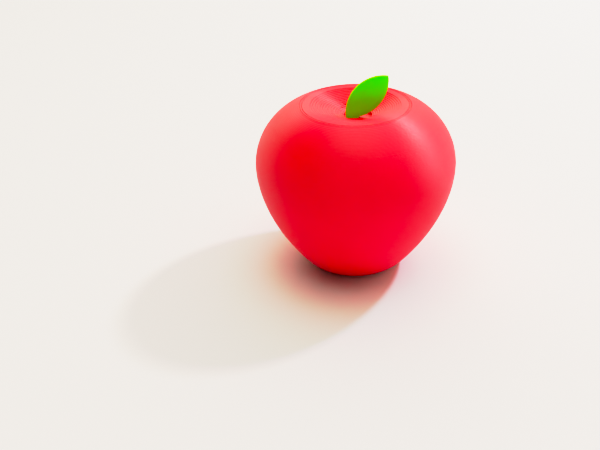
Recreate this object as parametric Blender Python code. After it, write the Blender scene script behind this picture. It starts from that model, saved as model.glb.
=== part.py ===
"""Apple ornament: a turned plastic apple with a green leaf plugged into its dimple.

Run with: blender --background --python part.py
Units are metres. +Z is up, the origin is the centre of the foot, and -Y is the front.
"""
from math import asin, cos, pi, radians, sin, sqrt

import bmesh
import bpy
from mathutils import Matrix, Vector

MM = 0.001

# Driving dimensions of the apple
APPLE_RADIUS = 40.0 * MM
WAIST_HEIGHT = 44.0 * MM
FOOT_RADIUS = 13.8 * MM
FOOT_ROUND = 12.0 * MM
FOOT_TURN = radians(50)
FLANK_POWER = 1.85
SHOULDER_CENTRE = 12.2 * MM
SHOULDER_RISE = 26.1 * MM
CROWN_HEIGHT = 68.5 * MM
ROUND_STEPS = 72

# Conical dimple in the level crown, and the well at its bottom that takes the leaf
DIMPLE_RADIUS = 17.9 * MM
LIP_RADIUS = 5.5 * MM
LIP_HEIGHT = 64.3 * MM
WELL_DEPTH = 1.3 * MM
WELL_SHIFT = 1.1 * MM

# Leaf: a pointed oval blade on a tongue, both in one leaning plane
LEAF_LOW_TIP = (-3.6 * MM, 63.4 * MM)
LEAF_HIGH_TIP = (12.8 * MM, 78.9 * MM)
LEAF_WIDTH = 11.2 * MM
LEAF_THICKNESS = 1.6 * MM
LEAF_EDGE_BEVEL = 0.35 * MM
LEAF_LEAN = radians(8)
LEAF_STEPS = 20
TONGUE_WIDTH = 5.0 * MM
TONGUE_LENGTH = 7.0 * MM
FIT_GAP = 0.3 * MM
MERGE_DISTANCE = 0.001 * MM

RED = (0.85, 0.006, 0.028, 1.0)
GREEN = (0.035, 0.62, 0.006, 1.0)


def clear_scene():
    """Remove whatever the open file holds."""
    for thing in list(bpy.data.objects):
        bpy.data.objects.remove(thing, do_unlink=True)


def plastic(name, colour, roughness):
    """Return a plain plastic material."""
    material = bpy.data.materials.new(name)
    material.use_nodes = True
    shader = material.node_tree.nodes["Principled BSDF"]
    shader.inputs["Base Color"].default_value = colour
    shader.inputs["Roughness"].default_value = roughness
    shader.inputs["Metallic"].default_value = 0.0
    material.diffuse_color = colour
    return material


def add_object(name, mesh_builder, material=None):
    """Turn a bmesh into a named object with outward faces."""
    bmesh.ops.recalc_face_normals(mesh_builder, faces=mesh_builder.faces)
    mesh = bpy.data.meshes.new(name)
    mesh_builder.to_mesh(mesh)
    mesh_builder.free()
    if material:
        mesh.materials.append(material)
    thing = bpy.data.objects.new(name, mesh)
    bpy.context.scene.collection.objects.link(thing)
    return thing


def foot_curve():
    """Round from the flat foot out to where the flank starts."""
    turns = [step * FOOT_TURN / 10 for step in range(11)]
    return [(FOOT_RADIUS + FOOT_ROUND * sin(a), FOOT_ROUND * (1 - cos(a))) for a in turns]


def flank_curve():
    """Power curve from the foot out to the widest ring."""
    start_radius, start_height = foot_curve()[-1]
    points = []
    for step in range(1, 17):
        drop = 1 - step / 16
        reach = APPLE_RADIUS - (APPLE_RADIUS - start_radius) * drop ** FLANK_POWER
        points.append((reach, WAIST_HEIGHT - (WAIST_HEIGHT - start_height) * drop))
    return points


def shoulder_curve():
    """Part of an ellipse from the widest ring up to the level crown."""
    last_turn = asin((CROWN_HEIGHT - WAIST_HEIGHT) / SHOULDER_RISE)
    turns = [step * last_turn / 14 for step in range(1, 15)]
    reach = APPLE_RADIUS - SHOULDER_CENTRE
    return [(SHOULDER_CENTRE + reach * cos(a), WAIST_HEIGHT + SHOULDER_RISE * sin(a)) for a in turns]


def shift_well(shape):
    """Move the well sideways and slant the dimple's wall so that it still meets the well."""
    well_floor = LIP_HEIGHT - WELL_DEPTH
    for vert in shape.verts:
        if vert.co.z > well_floor - FIT_GAP and vert.co.xy.length < DIMPLE_RADIUS:
            part_way = (DIMPLE_RADIUS - vert.co.xy.length) / (DIMPLE_RADIUS - LIP_RADIUS)
            vert.co.x += WELL_SHIFT * min(1.0, part_way)


def build_apple(material):
    """Turn the outline once round the axis."""
    well_floor = LIP_HEIGHT - WELL_DEPTH
    outline = [(0.0, 0.0)] + foot_curve() + flank_curve() + shoulder_curve()
    outline += [(DIMPLE_RADIUS, CROWN_HEIGHT), (LIP_RADIUS, LIP_HEIGHT)]
    outline += [(LIP_RADIUS, well_floor), (0.0, well_floor)]
    shape = bmesh.new()
    chain = [shape.verts.new((radius, 0.0, height)) for radius, height in outline]
    edges = [shape.edges.new(pair) for pair in zip(chain, chain[1:])]
    bmesh.ops.spin(shape, geom=chain + edges, cent=(0, 0, 0), axis=(0, 0, 1), angle=2 * pi,
                   steps=ROUND_STEPS, use_merge=True)
    bmesh.ops.remove_doubles(shape, verts=shape.verts, dist=MERGE_DISTANCE)
    shift_well(shape)
    apple = add_object("apple_body", shape, material)
    apple.data.shade_smooth()
    apple.data.set_sharp_from_angle(angle=radians(35))
    return apple


def leaf_plane():
    """Matrix from the leaf's own upright XY drawing to its leaning place in the well."""
    pivot = Matrix.Translation((0, 0, LIP_HEIGHT))
    upright = Matrix.Rotation(pi / 2 - LEAF_LEAN, 4, "X")
    return pivot @ upright @ Matrix.Translation((0, -LIP_HEIGHT, 0))


def arc_points(start, end, sagitta, steps):
    """Points after start on the arc that bulges to the left of the way to end."""
    start, end = Vector(start), Vector(end)
    half = (end - start).length / 2
    radius = (half ** 2 + sagitta ** 2) / (2 * sagitta)
    along = (end - start).normalized()
    left = Vector((-along.y, along.x))
    middle = (start + end) / 2
    points = []
    for step in range(1, steps + 1):
        travel = half * (2 * step / steps - 1)
        bulge = sqrt(radius ** 2 - travel ** 2) - (radius - sagitta)
        points.append(middle + along * travel + left * bulge)
    return points


def leaf_outline():
    """Closed outline of the blade and the tongue under it, in the leaf's plane."""
    low, high = Vector(LEAF_LOW_TIP), Vector(LEAF_HIGH_TIP)
    tongue_right = low.x + TONGUE_WIDTH
    tongue_foot = low.y - TONGUE_LENGTH
    back_edge = arc_points(low, high, LEAF_WIDTH / 2, LEAF_STEPS)
    front_edge = arc_points(high, low, LEAF_WIDTH / 2, LEAF_STEPS)
    visible_front = [point for point in front_edge if point.x > tongue_right + FIT_GAP]
    root = visible_front[-1].y
    corners = [Vector((tongue_right, root)), Vector((tongue_right, tongue_foot)),
               Vector((low.x, tongue_foot))]
    return [low] + back_edge + visible_front + corners


def build_leaf(material):
    """Extrude the leaf outline to its thickness and soften its edges."""
    shape = bmesh.new()
    half = LEAF_THICKNESS / 2
    face = shape.faces.new([shape.verts.new((p.x, p.y, -half)) for p in leaf_outline()])
    grown = bmesh.ops.extrude_face_region(shape, geom=[face])["geom"]
    raised = [part for part in grown if isinstance(part, bmesh.types.BMVert)]
    bmesh.ops.translate(shape, verts=raised, vec=(0, 0, LEAF_THICKNESS))
    rims = [edge for edge in shape.edges if abs(edge.verts[0].co.z - edge.verts[1].co.z) < half]
    bmesh.ops.bevel(shape, geom=rims, offset=LEAF_EDGE_BEVEL, segments=2, profile=0.5,
                    affect="EDGES", clamp_overlap=True)
    bmesh.ops.transform(shape, matrix=leaf_plane(), verts=shape.verts)
    leaf = add_object("leaf", shape, material)
    leaf.data.shade_smooth()
    leaf.data.set_sharp_from_angle(angle=radians(35))
    return leaf


def cut_leaf_slot(apple):
    """Cut the slot for the leaf's tongue down into the floor of the well."""
    low_x, low_y = LEAF_LOW_TIP
    bottom = low_y - TONGUE_LENGTH - FIT_GAP
    top = low_y
    size = (TONGUE_WIDTH + 2 * FIT_GAP, top - bottom, LEAF_THICKNESS + 2 * FIT_GAP)
    middle = (low_x + TONGUE_WIDTH / 2, (top + bottom) / 2, 0)
    shape = bmesh.new()
    bmesh.ops.create_cube(shape, size=1.0)
    bmesh.ops.scale(shape, vec=size, verts=shape.verts)
    bmesh.ops.translate(shape, vec=middle, verts=shape.verts)
    bmesh.ops.transform(shape, matrix=leaf_plane(), verts=shape.verts)
    cutter = add_object("leaf_slot_cutter", shape)
    cutter.hide_render = True
    cutter.display_type = "WIRE"
    slot = apple.modifiers.new("leaf_slot", "BOOLEAN")
    slot.operation = "DIFFERENCE"
    slot.solver = "EXACT"
    slot.object = cutter


clear_scene()
apple_body = build_apple(plastic("red_plastic", RED, 0.42))
build_leaf(plastic("green_plastic", GREEN, 0.45))
cut_leaf_slot(apple_body)
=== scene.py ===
"""Looks of the apple ornament: a printed red apple with a green leaf, on a pale floor.

The apple is laid up layer by layer the way it was printed, the leaf is a blade with
bevelled edges, and the stage is a pale floor under a soft room light and one small key
light. Sizes are in metres, +Z is up and -Y is the front.
"""

import logging
from dataclasses import dataclass
from enum import Enum
from math import cos, hypot, pi, radians, sin, sqrt

import bmesh
import bpy
from mathutils import Matrix, Vector


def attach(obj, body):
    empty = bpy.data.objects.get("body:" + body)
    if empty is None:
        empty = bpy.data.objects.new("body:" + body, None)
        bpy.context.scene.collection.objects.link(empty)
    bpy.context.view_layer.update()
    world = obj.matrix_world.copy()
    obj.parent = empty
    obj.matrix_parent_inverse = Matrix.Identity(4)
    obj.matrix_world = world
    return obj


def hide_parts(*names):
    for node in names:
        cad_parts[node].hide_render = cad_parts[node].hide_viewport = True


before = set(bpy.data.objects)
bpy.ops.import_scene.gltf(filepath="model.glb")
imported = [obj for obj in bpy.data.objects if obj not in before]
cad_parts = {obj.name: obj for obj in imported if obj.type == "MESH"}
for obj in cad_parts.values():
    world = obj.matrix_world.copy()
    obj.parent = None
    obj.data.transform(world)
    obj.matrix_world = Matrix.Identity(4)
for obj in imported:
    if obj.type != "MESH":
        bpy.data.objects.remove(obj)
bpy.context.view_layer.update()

MM = 0.001
LOG = logging.getLogger("apple")

Point2 = tuple[float, float]
Point3 = tuple[float, float, float]
Sides = tuple[float, float, float, float]
Socket = bpy.types.NodeSocket
Feed = Socket | float | tuple[float, ...]


class Slot(Enum):
    """Material slots of the record."""

    RED = "red_plastic"
    GREEN = "green_plastic"


class Edge(Enum):
    """Shape of a printed layer's edge, as shares of its way up and as turns in degrees."""

    BEAD = (0.0, 0.25, 0.75)
    STEP = (0, 30, 60, 90)


class Ease(Enum):
    """How a number changes from one end to the other."""

    EVEN = "LINEAR"
    SOFT = "SMOOTHSTEP"


class NodeSketch:
    """Short calls for placing and joining the nodes of one tree."""

    def __init__(self, tree: bpy.types.NodeTree) -> None:
        """Keep the tree that the nodes go into."""
        self.tree = tree

    def add(self, kind: str, **settings: object) -> bpy.types.Node:
        """Add one node.

        Args:
            kind: The node's type.
            **settings: Properties to set on it.

        Returns:
            The new node.
        """
        node = self.tree.nodes.new(kind)
        for name, value in settings.items():
            setattr(node, name, value)
        return node

    def feed(self, source: Feed, target: Socket) -> None:
        """Join a socket to another, or set a plain value on it.

        Args:
            source: A socket, a number or a tuple.
            target: The socket that takes it.
        """
        if isinstance(source, Socket):
            self.tree.links.new(source, target)
        else:
            target.default_value = source

    def math(self, operation: str, *values: Feed) -> Socket:
        """Work out one number from others.

        Args:
            operation: The Math node's operation.
            *values: Sockets or numbers.

        Returns:
            The result's socket.
        """
        node = self.add("ShaderNodeMath", operation=operation)
        for value, socket in zip(values, node.inputs):
            self.feed(value, socket)
        return node.outputs[0]

    def vector_math(self, operation: str, first: Feed, second: Feed) -> bpy.types.NodeOutputs:
        """Work on two vectors.

        Args:
            operation: The Vector Math node's operation.
            first: The first vector.
            second: The second one.

        Returns:
            The results: Vector, and Value for a length or a distance.
        """
        node = self.add("ShaderNodeVectorMath", operation=operation)
        self.feed(first, node.inputs[0])
        self.feed(second, node.inputs[1])
        return node.outputs

    def ramp(self, value: Feed, span: Point2, ends: tuple[Feed, Feed], ease: Ease = Ease.SOFT) -> Socket:
        """Lead a number from one end to the other.

        Args:
            value: The number's socket.
            span: Where the change starts and ends.
            ends: The results before and after the span.
            ease: How it changes in between.

        Returns:
            The result's socket.
        """
        node = self.add("ShaderNodeMapRange", interpolation_type=ease.value)
        self.feed(value, node.inputs["Value"])
        for name, number in zip(("From Min", "From Max", "To Min", "To Max"), span + ends):
            self.feed(number, node.inputs[name])
        return node.outputs[0]

    def join(self, x: Feed, y: Feed, z: Feed) -> Socket:
        """Join three numbers to a vector.

        Args:
            x: Its part along X.
            y: Its part along Y.
            z: Its part along Z.

        Returns:
            The vector's socket.
        """
        node = self.add("ShaderNodeCombineXYZ")
        for value, socket in zip((x, y, z), node.inputs):
            self.feed(value, socket)
        return node.outputs[0]

    def split(self, vector: Socket) -> bpy.types.NodeOutputs:
        """Take a vector apart.

        Args:
            vector: The vector's socket.

        Returns:
            Its parts: X, Y and Z.
        """
        node = self.add("ShaderNodeSeparateXYZ")
        self.feed(vector, node.inputs[0])
        return node.outputs

    def noise(self, place: Socket, scale: float, detail: float) -> Socket:
        """Make soft noise from nought to one.

        Args:
            place: Where it is read.
            scale: How fine it is, per metre.
            detail: How many finer rounds of noise lie on top.

        Returns:
            The noise's socket.
        """
        node = self.add("ShaderNodeTexNoise")
        for name, value in (("Vector", place), ("Scale", scale), ("Detail", detail)):
            self.feed(value, node.inputs[name])
        return node.outputs["Fac"]

    def blend(self, share: Feed, first: Point3, second: Point3) -> Socket:
        """Blend two colours.

        Args:
            share: Share of the second colour.
            first: The first colour.
            second: The second one.

        Returns:
            The blended colour's socket.
        """
        node = self.add("ShaderNodeMix", data_type="RGBA")
        self.feed(share, node.inputs["Factor"])
        sockets = [socket for socket in node.inputs if socket.type == "RGBA"]
        for socket, colour in zip(sockets, (first, second)):
            socket.default_value = (*colour, 1)
        return next(socket for socket in node.outputs if socket.type == "RGBA")


@dataclass(frozen=True)
class PlasticFinish:
    """A satin printed plastic.

    Attributes:
        name: The material's name.
        colour: Linear base colour.
        roughness: Roughness of the plain surface.
        stretch: How far the printed lines draw highlights out across them.
        grain_depth: Depth of the fine grain.
        glow: Share of light that scatters inside the plastic.
        pits: Where small pits are.
        pit_radius: Radius of those pits.
        pit_depth: Depth of those pits.
        cloud_scale: How fine the soft changes of colour are, per metre.
        cloud_detail: Rounds of finer change on top of them.
        darkest: What the parts of the colour are multiplied by where it is darkest.
        lightest: The same where it is lightest.
        grain_scale: How fine the grain is, per metre.
        grain_detail: Rounds of finer grain on top of it.
        grain_squash: How many times finer it is along X, Y and Z.
        roughness_swing: How far the grain raises or lowers the roughness.
        scatter_reach: How far light travels inside the plastic.
        scatter_shares: Share of that reach for red, green and blue light.
        stretch_turn: Share of a full turn from the printed lines to the drawn-out highlights.
    """

    name: str
    colour: Point3
    roughness: float
    stretch: float
    grain_depth: float
    glow: float
    pits: tuple[Point3, ...] = ()
    pit_radius: float = 0.6 * MM
    pit_depth: float = 0.5 * MM
    cloud_scale: float = 90.0
    cloud_detail: float = 3.0
    darkest: Point3 = (0.94, 0.9, 0.9)
    lightest: Point3 = (1.05, 1.08, 1.08)
    grain_scale: float = 900.0
    grain_detail: float = 2.0
    grain_squash: Point3 = (1.0, 1.0, 1.8)
    roughness_swing: float = 0.06
    scatter_reach: float = 4.0 * MM
    scatter_shares: Point3 = (0.45, 1.2, 0.2)
    stretch_turn: float = 0.25

    def material(self) -> bpy.types.Material:
        """Build the finish's material.

        Returns:
            The node material.
        """
        material = bpy.data.materials.new(self.name)
        material.use_nodes = True
        sketch = NodeSketch(material.node_tree)
        shader = material.node_tree.nodes["Principled BSDF"]
        place = sketch.add("ShaderNodeTexCoord").outputs["Object"]
        self._colour(sketch, shader, place)
        self._surface(sketch, shader, place)
        self._stretch(sketch, shader, place)
        shader.inputs["Subsurface Weight"].default_value = self.glow
        shader.inputs["Subsurface Scale"].default_value = self.scatter_reach
        shader.inputs["Subsurface Radius"].default_value = self.scatter_shares
        return material

    def _colour(self, sketch: NodeSketch, shader: bpy.types.Node, place: Socket) -> None:
        """Vary the base colour a little from place to place.

        Args:
            sketch: The material's nodes.
            shader: Its Principled shader.
            place: The place on the piece.
        """
        cloud = sketch.noise(place, self.cloud_scale, self.cloud_detail)
        dark = tuple(part * share for part, share in zip(self.colour, self.darkest))
        light = tuple(part * share for part, share in zip(self.colour, self.lightest))
        sketch.feed(sketch.blend(cloud, dark, light), shader.inputs["Base Color"])

    def _surface(self, sketch: NodeSketch, shader: bpy.types.Node, place: Socket) -> None:
        """Make the roughness, the fine grain and the small pits.

        Args:
            sketch: The material's nodes.
            shader: Its Principled shader.
            place: The place on the piece.
        """
        squashed = sketch.vector_math("MULTIPLY", place, self.grain_squash)["Vector"]
        grain = sketch.noise(squashed, self.grain_scale, self.grain_detail)
        smoothest, roughest = self.roughness - self.roughness_swing, self.roughness + self.roughness_swing
        rough = sketch.ramp(grain, (0.0, 1.0), (smoothest, roughest), Ease.EVEN)
        sketch.feed(rough, shader.inputs["Roughness"])
        height = sketch.math("MULTIPLY", grain, self.grain_depth)
        for middle in self.pits:
            away = sketch.vector_math("DISTANCE", place, middle)["Value"]
            dent = sketch.ramp(away, (0.0, self.pit_radius), (-self.pit_depth, 0.0))
            height = sketch.math("ADD", height, dent)
        bump = sketch.add("ShaderNodeBump")
        for name, value in (("Distance", 1.0), ("Strength", 1.0), ("Height", height)):
            sketch.feed(value, bump.inputs[name])
        sketch.feed(bump.outputs[0], shader.inputs["Normal"])

    def _stretch(self, sketch: NodeSketch, shader: bpy.types.Node, place: Socket) -> None:
        """Draw highlights out across the printed lines, which run round the axis.

        Args:
            sketch: The material's nodes.
            shader: Its Principled shader.
            place: The place on the piece.
        """
        parts = sketch.split(place)
        along_line = sketch.join(sketch.math("MULTIPLY", parts["Y"], -1.0), parts["X"], 0.0)
        sketch.feed(along_line, shader.inputs["Tangent"])
        shader.inputs["Anisotropic"].default_value = self.stretch
        shader.inputs["Anisotropic Rotation"].default_value = self.stretch_turn


WALL_PITS = (
    (-4.5 * MM, 8.4 * MM, 65.7 * MM),
    (-3.5 * MM, 7.6 * MM, 65.3 * MM),
    (-4.9 * MM, 5.4 * MM, 65.0 * MM),
    (-4.3 * MM, -2.0 * MM, 64.4 * MM),
)
RED_PRINT = PlasticFinish(
    name="red_print", colour=(0.88, 0.028, 0.073), roughness=0.5, stretch=0.85,
    grain_depth=0.05 * MM, glow=0.0, pits=WALL_PITS)
GREEN_PRINT = PlasticFinish(
    name="green_print", colour=(0.26, 1.0, 0.02), roughness=0.42, stretch=0.0,
    grain_depth=0.006 * MM, glow=0.9)


@dataclass
class PrintedApple:
    """The apple's body, laid up in layers and turned round its axis.

    Attributes:
        radius: Radius of the widest ring.
        waist: Height of the widest ring.
        foot_radius: Radius of the flat foot.
        foot_round: Radius of the rounding between the foot and the flank.
        foot_turn: Angle over which that rounding turns into the flank.
        flank_power: How late the flank turns in towards the foot.
        shoulder_centre: Radius about which the shoulder's ellipse is drawn.
        shoulder_rise: Half height of that ellipse.
        crown: Height of the level crown.
        dimple_radius: Radius of the dimple's rim.
        lip_radius: Radius of the leaf well.
        lip_height: Height of the well's edge.
        well_depth: Depth of the well.
        well_shift: How far the well stands off the axis, towards +X.
        layers: Number of printed layers up to the crown.
        bead: How far a layer's edge stands out of the groove beside it.
        step_round: Share of a step in the dimple that its rounded edge takes.
        groove_radii: Radii of the grooves in the crown.
        groove_width: Width of those grooves.
        groove_depth: Depth of those grooves.
        closest: Distance below which two points of the outline become one.
        merge: Distance below which two points of the turned mesh become one.
        turns: Segments round the axis.
        sharp: Angle between two faces from which their edge is sharp.
        unevenness: How far a layer may stand out or in.
        drift_round: How quickly that changes round the axis.
        drift_up: How much it differs from one layer to the next.
        still_radius: Radius about the axis within which nothing stands out or in.
        seed: Seed of that unevenness.
    """

    radius: float = 40.0 * MM
    waist: float = 44.0 * MM
    foot_radius: float = 13.8 * MM
    foot_round: float = 12.0 * MM
    foot_turn: float = radians(50)
    flank_power: float = 1.85
    shoulder_centre: float = 12.2 * MM
    shoulder_rise: float = 26.1 * MM
    crown: float = 68.5 * MM
    dimple_radius: float = 17.9 * MM
    lip_radius: float = 5.5 * MM
    lip_height: float = 64.3 * MM
    well_depth: float = 1.3 * MM
    well_shift: float = 1.1 * MM
    layers: int = 228
    bead: float = 0.07 * MM
    step_round: float = 0.45
    groove_radii: Point2 = (21.6 * MM, 20.8 * MM)
    groove_width: float = 0.28 * MM
    groove_depth: float = 0.28 * MM
    closest: float = 0.004 * MM
    merge: float = 0.001 * MM
    turns: int = 96
    sharp: float = radians(50)
    unevenness: float = 0.02 * MM
    drift_round: float = 1.6
    drift_up: float = 7.3
    still_radius: float = 1.0 * MM
    seed: int = 7

    @property
    def layer(self) -> float:
        """Height of one printed layer."""
        return self.crown / self.layers

    def outer_radius(self, height: float) -> float:
        """Radius of the smooth outside at a height.

        Args:
            height: Height above the foot, up to the crown.

        Returns:
            The radius there.
        """
        flank_foot = self.foot_round * (1 - cos(self.foot_turn))
        if height < flank_foot:
            drop = 1 - height / self.foot_round
            return self.foot_radius + self.foot_round * sqrt(max(0.0, 1 - drop * drop))
        if height < self.waist:
            start = self.foot_radius + self.foot_round * sin(self.foot_turn)
            drop = (self.waist - height) / (self.waist - flank_foot)
            return self.radius - (self.radius - start) * drop ** self.flank_power
        rise = (height - self.waist) / self.shoulder_rise
        return self.shoulder_centre + (self.radius - self.shoulder_centre) * sqrt(1 - rise * rise)

    def wall_radius(self, height: float) -> float:
        """Radius of the smooth dimple wall at a height between the lip and the crown."""
        part = (height - self.lip_height) / (self.crown - self.lip_height)
        return self.lip_radius + part * (self.dimple_radius - self.lip_radius)

    def bead_points(self, start: Point2, end: Point2) -> list[Point2]:
        """Points along one bead that bulges to the right of its way and is grooved at its ends.

        Args:
            start: Where the bead starts on the smooth outline.
            end: Where it ends, and the next one starts.

        Returns:
            The points, without the one at the end.
        """
        across, up = end[0] - start[0], end[1] - start[1]
        length = hypot(across, up)
        points = []
        for share in Edge.BEAD.value:
            sink = self.bead * (1 - sin(pi * share)) / length
            points.append((start[0] + share * across - sink * up, start[1] + share * up + sink * across))
        return points

    def step_points(self, start: float, end: float, low: float) -> list[Point2]:
        """Points up a layer's rounded edge, from one radius at its underside to another on its top."""
        turns = [radians(degrees) for degrees in Edge.STEP.value]
        return [(end + (start - end) * cos(a), low + self.layer * sin(a)) for a in turns]

    def outside(self) -> list[Point2]:
        """Draw the layers from the foot's middle up to the edge of the crown.

        Returns:
            The points of that part of the outline.
        """
        points: list[Point2] = [(0.0, 0.0), (self.foot_radius, 0.0)]
        rings = [(self.outer_radius(k * self.layer), k * self.layer) for k in range(1, self.layers + 1)]
        for start, end in zip(rings, rings[1:]):
            points += self.bead_points(start, end)
        return points + [rings[-1]]

    def crown_grooves(self) -> list[Point2]:
        """Draw the fine grooves between the outermost printed lines of the level crown.

        Returns:
            Their points, from the outer groove to the inner one.
        """
        points: list[Point2] = []
        for radius in self.groove_radii:
            half, bottom = self.groove_width / 2, self.crown - self.groove_depth
            points += [(radius + half, self.crown), (radius, bottom), (radius - half, self.crown)]
        return points

    def inside(self) -> list[Point2]:
        """Draw the layers from the edge of the dimple down to the well's middle.

        Returns:
            The points of that part of the outline.
        """
        points: list[Point2] = []
        lip_layer = round(self.lip_height / self.layer)
        floor_layer = round((self.lip_height - self.well_depth) / self.layer)
        for k in reversed(range(floor_layer, self.layers)):
            low, high = k * self.layer, (k + 1) * self.layer
            if k >= lip_layer:
                end, below = self.wall_radius(high), self.wall_radius(low)
                points += reversed(self.step_points(end + self.step_round * (below - end), end, low))
            else:
                points += self.bead_points((self.lip_radius, high), (self.lip_radius, low))
        points.append((0.0, floor_layer * self.layer))
        return points

    def outline(self) -> list[Point2]:
        """Draw half the layered apple, without points that all but coincide.

        Returns:
            The outline's points, from the foot's middle round to the well's middle.
        """
        kept: list[Point2] = []
        for point in self.outside() + self.crown_grooves() + self.inside():
            if not kept or hypot(point[0] - kept[-1][0], point[1] - kept[-1][1]) > self.closest:
                kept.append(point)
        return kept

    def lathe(self) -> bpy.types.NodeTree:
        """Make the node group that turns an outline round the axis, each layer a little uneven.

        Returns:
            The node group.
        """
        tree = bpy.data.node_groups.new("layered_lathe", "GeometryNodeTree")
        for name, kind in (("Outline", "Geometry"), ("Turns", "Int"), ("Layer Height", "Float"),
                           ("Unevenness", "Float"), ("Seed", "Int"), ("Well Shift", "Float"),
                           ("Finish", "Material")):
            tree.interface.new_socket(name=name, in_out="INPUT", socket_type="NodeSocket" + kind)
        tree.interface.new_socket(name="Apple", in_out="OUTPUT", socket_type="NodeSocketGeometry")
        sketch = NodeSketch(tree)
        given = sketch.add("NodeGroupInput").outputs
        grid, row, angle = self._grid(sketch, given)
        spot = self._spot(sketch, given, row)
        east, north = sketch.math("COSINE", angle), sketch.math("SINE", angle)
        reach = self._reach(sketch, given, spot, (east, north))
        place = sketch.add("GeometryNodeSetPosition")
        sketch.feed(grid, place.inputs["Geometry"])
        sketch.feed(sketch.join(sketch.math("MULTIPLY_ADD", reach, east, self._aside(sketch, given, spot)),
                                sketch.math("MULTIPLY", reach, north), spot["Z"]), place.inputs["Position"])
        close = sketch.add("GeometryNodeMergeByDistance")
        sketch.feed(place.outputs[0], close.inputs["Geometry"])
        close.inputs["Distance"].default_value = self.merge
        realize = sketch.add("GeometryNodeRealizeInstances")
        sketch.feed(close.outputs[0], realize.inputs[0])
        dress = sketch.add("GeometryNodeSetMaterial")
        sketch.feed(realize.outputs[0], dress.inputs["Geometry"])
        sketch.feed(given["Finish"], dress.inputs["Material"])
        sketch.feed(dress.outputs[0], sketch.add("NodeGroupOutput").inputs[0])
        return tree

    @staticmethod
    def _grid(sketch: NodeSketch, given: bpy.types.NodeOutputs) -> tuple[Socket, Socket, Socket]:
        """Lay a grid with a row for each point of the outline and a column for each turn.

        Args:
            sketch: The group's nodes.
            given: The group's inputs.

        Returns:
            The grid, each of its points' row, and each one's angle round the axis.
        """
        size = sketch.add("GeometryNodeAttributeDomainSize")
        sketch.feed(given["Outline"], size.inputs[0])
        columns = sketch.math("ADD", given["Turns"], 1.0)
        grid = sketch.add("GeometryNodeMeshGrid")
        sketch.feed(size.outputs["Point Count"], grid.inputs["Vertices X"])
        sketch.feed(columns, grid.inputs["Vertices Y"])
        index = sketch.add("GeometryNodeInputIndex").outputs[0]
        row = sketch.math("FLOOR", sketch.math("DIVIDE", index, columns))
        column = sketch.math("SUBTRACT", index, sketch.math("MULTIPLY", row, columns))
        angle = sketch.math("MULTIPLY", sketch.math("DIVIDE", column, given["Turns"]), 2 * pi)
        return grid.outputs["Mesh"], row, angle

    @staticmethod
    def _spot(sketch: NodeSketch, given: bpy.types.NodeOutputs, row: Socket) -> bpy.types.NodeOutputs:
        """Look up the outline's point for a row.

        Args:
            sketch: The group's nodes.
            given: The group's inputs.
            row: The row.

        Returns:
            The point's parts: its radius as X and its height as Z.
        """
        pick = sketch.add("GeometryNodeSampleIndex", data_type="FLOAT_VECTOR", clamp=True)
        sketch.feed(given["Outline"], pick.inputs["Geometry"])
        sketch.feed(sketch.add("GeometryNodeInputPosition").outputs[0], pick.inputs["Value"])
        sketch.feed(row, pick.inputs["Index"])
        return sketch.split(pick.outputs[0])

    def _reach(self, sketch: NodeSketch, given: bpy.types.NodeOutputs, spot: bpy.types.NodeOutputs,
               way: tuple[Socket, Socket]) -> Socket:
        """Move each layer a little out or in, by noise that closes round the axis.

        Args:
            sketch: The group's nodes.
            given: The group's inputs.
            spot: The outline's point.
            way: Cosine and sine of the angle round the axis.

        Returns:
            The uneven layer's radius.
        """
        layer = sketch.math("FLOOR", sketch.math("DIVIDE", spot["Z"], given["Layer Height"]))
        x, y = (sketch.math("MULTIPLY", part, self.drift_round) for part in way)
        z = sketch.math("MULTIPLY", layer, self.drift_up)
        drift = sketch.add("ShaderNodeTexNoise", noise_dimensions="4D")
        for name, value in (("Vector", sketch.join(x, y, z)), ("W", given["Seed"]), ("Scale", 1.0)):
            sketch.feed(value, drift.inputs[name])
        # The noise goes from nought to one, the swing from minus one to one.
        swing = sketch.math("SUBTRACT", sketch.math("MULTIPLY", drift.outputs["Fac"], 2.0), 1.0)
        off_axis = sketch.math("GREATER_THAN", spot["X"], self.still_radius)
        shift = sketch.math("MULTIPLY", sketch.math("MULTIPLY", swing, given["Unevenness"]), off_axis)
        return sketch.math("ADD", spot["X"], shift)

    def _aside(self, sketch: NodeSketch, given: bpy.types.NodeOutputs,
               spot: bpy.types.NodeOutputs) -> Socket:
        """Slant the dimple's wall so that it meets the well, which stands off the axis.

        Args:
            sketch: The group's nodes.
            given: The group's inputs.
            spot: The outline's point.

        Returns:
            How far the point moves towards +X.
        """
        slant = sketch.ramp(spot["X"], (self.dimple_radius, self.lip_radius),
                            (0.0, given["Well Shift"]), Ease.EVEN)
        below_floor = self.lip_height - self.well_depth - self.layer
        return sketch.math("MULTIPLY", slant, sketch.math("GREATER_THAN", spot["Z"], below_floor))

    def build(self, material: bpy.types.Material) -> bpy.types.Object:
        """Lay up, turn and dress the apple.

        Args:
            material: Its finish.

        Returns:
            The finished piece.
        """
        points = self.outline()
        mesh = bpy.data.meshes.new("apple_outline")
        chain = [(k, k + 1) for k in range(len(points) - 1)]
        mesh.from_pydata([(x, 0.0, z) for x, z in points], chain, [])
        apple = bpy.data.objects.new("printed_apple", mesh)
        bpy.context.scene.collection.objects.link(apple)
        turned = plain_mesh(apple, self.lathe(), {
            "Turns": self.turns, "Layer Height": self.layer, "Unevenness": self.unevenness,
            "Seed": self.seed, "Well Shift": self.well_shift, "Finish": material})
        turned.set_sharp_from_angle(angle=self.sharp)
        return apple


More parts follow.
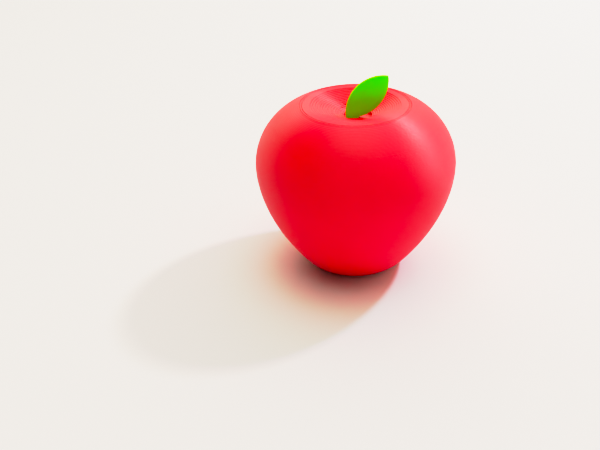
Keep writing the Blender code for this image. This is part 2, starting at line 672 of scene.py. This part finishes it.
def plain_mesh(
    thing: bpy.types.Object, tree: bpy.types.NodeTree, values: dict[str, object]
) -> bpy.types.Mesh:
    """Run a geometry node group on an object and keep the result as its mesh.

    Args:
        thing: The object whose mesh the group takes.
        tree: The node group.
        values: What its named inputs are set to.

    Returns:
        The object's new mesh, with outward faces.
    """
    modifier = thing.modifiers.new(tree.name, "NODES")
    modifier.node_group = tree
    for socket in tree.interface.items_tree:
        if socket.in_out == "INPUT" and socket.name in values:
            modifier[socket.identifier] = values[socket.name]
    bpy.context.view_layer.update()
    evaluated = thing.evaluated_get(bpy.context.evaluated_depsgraph_get())
    mesh = bpy.data.meshes.new_from_object(evaluated)
    thing.modifiers.remove(modifier)
    thing.data = mesh
    shape = bmesh.new()
    shape.from_mesh(mesh)
    bmesh.ops.recalc_face_normals(shape, faces=shape.faces)
    shape.to_mesh(mesh)
    shape.free()
    mesh.shade_smooth()
    return mesh


@dataclass
class PluggedLeaf:
    """The green leaf: a pointed oval blade with a tongue that goes down into the apple.

    Attributes:
        low_tip: Lower tip in the leaf's plane, across and up.
        high_tip: Upper tip in the leaf's plane.
        width: Width across the middle.
        thickness: Thickness of the blade.
        edge: Width of the bevel along its edges.
        edge_steps: Faces across that bevel.
        sharp: Angle between two faces from which their edge is sharp.
        lean: How far the leaf leans back.
        tongue_width: Width of the tongue.
        tongue_length: Length of the tongue below the low tip.
        pivot: Height at which the leaning plane crosses the axis.
        steps: Points along each side.
    """

    low_tip: Point2 = (-3.6 * MM, 63.4 * MM)
    high_tip: Point2 = (12.8 * MM, 78.87 * MM)
    width: float = 11.2 * MM
    thickness: float = 1.6 * MM
    edge: float = 0.4 * MM
    edge_steps: int = 3
    sharp: float = radians(40)
    lean: float = radians(8)
    tongue_width: float = 5.0 * MM
    tongue_length: float = 7.0 * MM
    pivot: float = 64.3 * MM
    steps: int = 40

    def plane(self) -> Matrix:
        """Matrix from the leaf's own drawing to its place."""
        upright = Matrix.Rotation(pi / 2 - self.lean, 4, "X")
        return Matrix.Translation((0, 0, self.pivot)) @ upright @ Matrix.Translation((0, -self.pivot, 0))

    def side(self, start: Vector, end: Vector) -> list[Vector]:
        """Points after start along the arc that bulges to the left of the way to end.

        Args:
            start: Where the side begins.
            end: Where it ends.

        Returns:
            The points, the end among them.
        """
        half = (end - start).length / 2
        rise = self.width / 2
        radius = (half ** 2 + rise ** 2) / (2 * rise)
        along = (end - start).normalized()
        left = Vector((-along.y, along.x))
        middle = (start + end) / 2
        points = []
        for step in range(1, self.steps + 1):
            travel = half * (2 * step / self.steps - 1)
            bulge = sqrt(radius ** 2 - travel ** 2) - (radius - rise)
            points.append(middle + along * travel + left * bulge)
        return points

    def outline(self) -> list[Vector]:
        """Draw the blade and the tongue under it.

        Returns:
            The points of their closed outline, in the leaf's plane.
        """
        low, high = Vector(self.low_tip), Vector(self.high_tip)
        right = low.x + self.tongue_width
        foot = low.y - self.tongue_length
        front = [point for point in self.side(high, low) if point.x > right]
        corners = [Vector((right, front[-1].y)), Vector((right, foot)), Vector((low.x, foot))]
        return [low] + self.side(low, high) + front + corners

    def build(self, material: bpy.types.Material) -> bpy.types.Object:
        """Extrude and bevel the leaf, and dress it.

        Args:
            material: Its finish.

        Returns:
            The finished piece.
        """
        shape = bmesh.new()
        half = self.thickness / 2
        face = shape.faces.new([shape.verts.new((p.x, p.y, -half)) for p in self.outline()])
        grown = bmesh.ops.extrude_face_region(shape, geom=[face])["geom"]
        raised = [part for part in grown if isinstance(part, bmesh.types.BMVert)]
        bmesh.ops.translate(shape, verts=raised, vec=(0, 0, self.thickness))
        rims = [e for e in shape.edges if abs(e.verts[0].co.z - e.verts[1].co.z) < half]
        bmesh.ops.bevel(shape, geom=rims, offset=self.edge, segments=self.edge_steps, profile=0.5,
                        affect="EDGES", clamp_overlap=True)
        bmesh.ops.transform(shape, matrix=self.plane(), verts=shape.verts)
        bmesh.ops.recalc_face_normals(shape, faces=shape.faces)
        mesh = bpy.data.meshes.new("printed_leaf")
        shape.to_mesh(mesh)
        shape.free()
        mesh.materials.append(material)
        mesh.shade_smooth()
        mesh.set_sharp_from_angle(angle=self.sharp)
        leaf = bpy.data.objects.new("printed_leaf", mesh)
        bpy.context.scene.collection.objects.link(leaf)
        return leaf


@dataclass(frozen=True)
class SoftRoom:
    """Soft light of the room, even over each of its sides and heights.

    Attributes:
        low: Strength near the floor's level in front, on the right, behind and on the left.
        middle: The same a third of the way up.
        high: The same two thirds of the way up.
        top: Strength straight above.
        joins: Where one height turns into the next, as the sine of the angle above the floor.
        colour: Colour of the light.
        wall: Plain pale colour of the wall behind the floor's far edge.
        least_level: Least level part of a direction, so that straight up has sides too.
    """

    low: Sides = (0.0, 0.0, 0.3, 0.0)
    middle: Sides = (0.0, 0.7, 3.2, 0.0)
    high: Sides = (0.05, 1.1, 1.7, 0.0)
    top: float = 3.6
    joins: tuple[Point2, Point2, Point2] = ((0.15, 0.35), (0.45, 0.65), (0.86, 0.96))
    colour: Point3 = (1.0, 0.91, 0.70)
    wall: Point3 = (0.80, 0.80, 0.80)
    least_level: float = 0.001

    def hang(self) -> None:
        """Fill the room with the light, and let the camera see a plain wall instead of it."""
        world = bpy.data.worlds.new("room")
        bpy.context.scene.world = world
        world.use_nodes = True
        sketch = NodeSketch(world.node_tree)
        light = world.node_tree.nodes["Background"]
        light.inputs["Color"].default_value = (*self.colour, 1)
        sketch.feed(self._strength(sketch), light.inputs["Strength"])
        wall = sketch.add("ShaderNodeBackground")
        wall.inputs["Color"].default_value = (*self.wall, 1)
        to_camera = sketch.add("ShaderNodeLightPath").outputs["Is Camera Ray"]
        seen = sketch.add("ShaderNodeMixShader")
        for source, socket in zip((to_camera, light.outputs[0], wall.outputs[0]), seen.inputs):
            sketch.feed(source, socket)
        sketch.feed(seen.outputs[0], world.node_tree.nodes["World Output"].inputs["Surface"])

    def _strength(self, sketch: NodeSketch) -> Socket:
        """Work out the light's strength from its direction.

        Args:
            sketch: The world's nodes.

        Returns:
            The strength.
        """
        direction = sketch.split(sketch.add("ShaderNodeTexCoord").outputs["Generated"])
        sides = self._sides(sketch, direction)
        strength: Feed = self.top
        for lights, join in zip((self.high, self.middle, self.low), reversed(self.joins)):
            ring: Feed = 0.0
            for light, side in zip(lights, sides):
                ring = sketch.math("MULTIPLY_ADD", side, light, ring)
            above = sketch.ramp(direction["Z"], join, (0.0, 1.0))
            rest = sketch.math("MULTIPLY", ring, sketch.math("SUBTRACT", 1.0, above))
            strength = sketch.math("MULTIPLY_ADD", above, strength, rest)
        return strength

    def _sides(self, sketch: NodeSketch, direction: bpy.types.NodeOutputs) -> list[Socket]:
        """Share of each side in a direction: front, right, back and left.

        Args:
            sketch: The world's nodes.
            direction: The direction's three parts.

        Returns:
            The four shares, which together make one except straight up.
        """
        x, y = direction["X"], direction["Y"]
        square = sketch.math("ADD", sketch.math("MULTIPLY", x, x), sketch.math("MULTIPLY", y, y))
        level = sketch.math("MAXIMUM", sketch.math("SQRT", square), self.least_level)
        shares = []
        for part, sign in ((y, -1.0), (x, 1.0), (y, 1.0), (x, -1.0)):
            along = sketch.math("DIVIDE", sketch.math("MULTIPLY", part, sign), level)
            shares.append(sketch.math("POWER", sketch.math("MAXIMUM", along, 0.0), 2.0))
        return shares


@dataclass
class Stage:
    """Pale floor, soft room light, one small key light and the camera.

    Attributes:
        camera_place: Where the camera stands.
        camera_pitch: How far it looks down.
        camera_roll: How far it is turned about its own line of sight.
        focal_length: Its focal length in millimetres.
        sensor_width: Width of its sensor in millimetres.
        nearest: Distance from which it sees things.
        key_azimuth: Direction of the key light round the apple, from +X towards +Y.
        key_height: Angle of the key light above the floor.
        key_distance: How far off the key light is.
        key_width: Its diameter.
        key_power: Its power in watts.
        key_colour: Its colour.
        room: The room's soft light.
        floor_reach: How far the floor goes from the apple to each side.
        floor_colour: The floor's linear colour.
        floor_roughness: Its roughness.
        floor_gloss: How strongly it mirrors.
        white: Light that the tone curve takes as its right end.
        brightest: What the curve makes of that light.
        tone: The curve's other points: light that comes in, light that goes out.
        saturation: How far the finished picture's colours are deepened.
    """

    camera_place: Point3 = (-23.08 * MM, -274.95 * MM, 181.09 * MM)
    camera_pitch: float = radians(31.15)
    camera_roll: float = radians(-2.17)
    focal_length: float = 45.6
    sensor_width: float = 36.0
    nearest: float = 10.0 * MM
    key_azimuth: float = radians(32.3)
    key_height: float = radians(43.3)
    key_distance: float = 1.42
    key_width: float = 0.115
    key_power: float = 11.6
    key_colour: Point3 = (1.0, 0.975, 1.0)
    room: SoftRoom = SoftRoom()
    floor_reach: float = 3.0
    floor_colour: Point3 = (0.875, 0.875, 0.96)
    floor_roughness: float = 0.7
    floor_gloss: float = 0.2
    white: float = 2.0
    brightest: float = 0.94
    tone: tuple[Point2, ...] = ((0.03, 0.06), (0.07, 0.14), (0.14, 0.275), (0.35, 0.70),
                                (0.5, 0.79), (0.675, 0.868), (0.885, 0.92))
    saturation: float = 1.4

    def floor(self) -> bpy.types.Object:
        """Lay the pale floor.

        Returns:
            The floor.
        """
        mesh = bpy.data.meshes.new("floor")
        reach = self.floor_reach
        corners = [(-reach, -reach, 0), (reach, -reach, 0), (reach, reach, 0), (-reach, reach, 0)]
        mesh.from_pydata(corners, [], [(0, 1, 2, 3)])
        material = bpy.data.materials.new("pale_floor")
        material.use_nodes = True
        shader = material.node_tree.nodes["Principled BSDF"]
        shader.inputs["Base Color"].default_value = (*self.floor_colour, 1)
        shader.inputs["Roughness"].default_value = self.floor_roughness
        shader.inputs["Specular IOR Level"].default_value = self.floor_gloss
        mesh.materials.append(material)
        plane = bpy.data.objects.new("floor", mesh)
        bpy.context.scene.collection.objects.link(plane)
        return plane

    def light(self) -> None:
        """Hang the key light and fill the room with soft light."""
        data = bpy.data.lights.new("key", "AREA")
        data.shape = "DISK"
        data.size = self.key_width
        data.energy = self.key_power
        data.color = self.key_colour
        key = bpy.data.objects.new("key", data)
        bpy.context.scene.collection.objects.link(key)
        level = Vector((cos(self.key_azimuth), sin(self.key_azimuth), 0))
        towards = cos(self.key_height) * level + sin(self.key_height) * Vector((0, 0, 1))
        key.location = towards * self.key_distance
        key.rotation_euler = towards.to_track_quat("Z", "Y").to_euler()
        self.room.hang()

    def camera(self) -> None:
        """Set the camera at the photograph's viewing angle."""
        data = bpy.data.cameras.new("camera")
        data.lens = self.focal_length
        data.sensor_width = self.sensor_width
        data.clip_start = self.nearest
        camera = bpy.data.objects.new("camera", data)
        bpy.context.scene.collection.objects.link(camera)
        ahead = Vector((0, cos(self.camera_pitch), -sin(self.camera_pitch)))
        right = Vector((1, 0, 0))
        up = right.cross(ahead)
        turned_right = cos(self.camera_roll) * right + sin(self.camera_roll) * up
        turned_up = cos(self.camera_roll) * up - sin(self.camera_roll) * right
        turn = Matrix((turned_right, turned_up, -ahead)).transposed()
        camera.matrix_world = Matrix.Translation(self.camera_place) @ turn.to_4x4()
        bpy.context.scene.camera = camera

    def develop(self) -> None:
        """Develop the picture: soften the highlights and deepen the colours."""
        scene = bpy.context.scene
        scene.view_settings.view_transform = "Standard"
        scene.use_nodes = True
        sketch = NodeSketch(scene.node_tree)
        scene.node_tree.nodes.clear()
        curve = sketch.add("CompositorNodeCurveRGB")
        curve.inputs["White Level"].default_value = (self.white, self.white, self.white, 1.0)
        # The fourth curve is the one for all three colours together.
        line = curve.mapping.curves[3]
        line.points[-1].location = (1.0, self.brightest)
        for spot in self.tone:
            line.points.new(*spot)
        curve.mapping.update()
        deepen = sketch.add("CompositorNodeColorCorrection")
        deepen.master_saturation = self.saturation
        sketch.feed(sketch.add("CompositorNodeRLayers").outputs["Image"], curve.inputs["Image"])
        sketch.feed(curve.outputs[0], deepen.inputs["Image"])
        sketch.feed(deepen.outputs[0], sketch.add("CompositorNodeComposite").inputs[0])


def settle(piece: bpy.types.Object, node: str) -> None:
    """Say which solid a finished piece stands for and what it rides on.

    Args:
        piece: The finished piece.
        node: The CAD node that it replaces.
    """
    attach(piece, "root")
    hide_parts(node)
    LOG.info("%s stands for %s: %d faces", piece.name, node, len(piece.data.polygons))


def main() -> None:
    """Build the stage, the apple and the leaf in order."""
    logging.basicConfig(level=logging.INFO, format="%(name)s: %(message)s")
    stage = Stage()
    stage.camera()
    stage.light()
    stage.develop()
    stage.floor()
    settle(PrintedApple().build(RED_PRINT.material()), "apple_body")
    settle(PluggedLeaf().build(GREEN_PRINT.material()), "leaf")


if __name__ == "__main__":
    main()
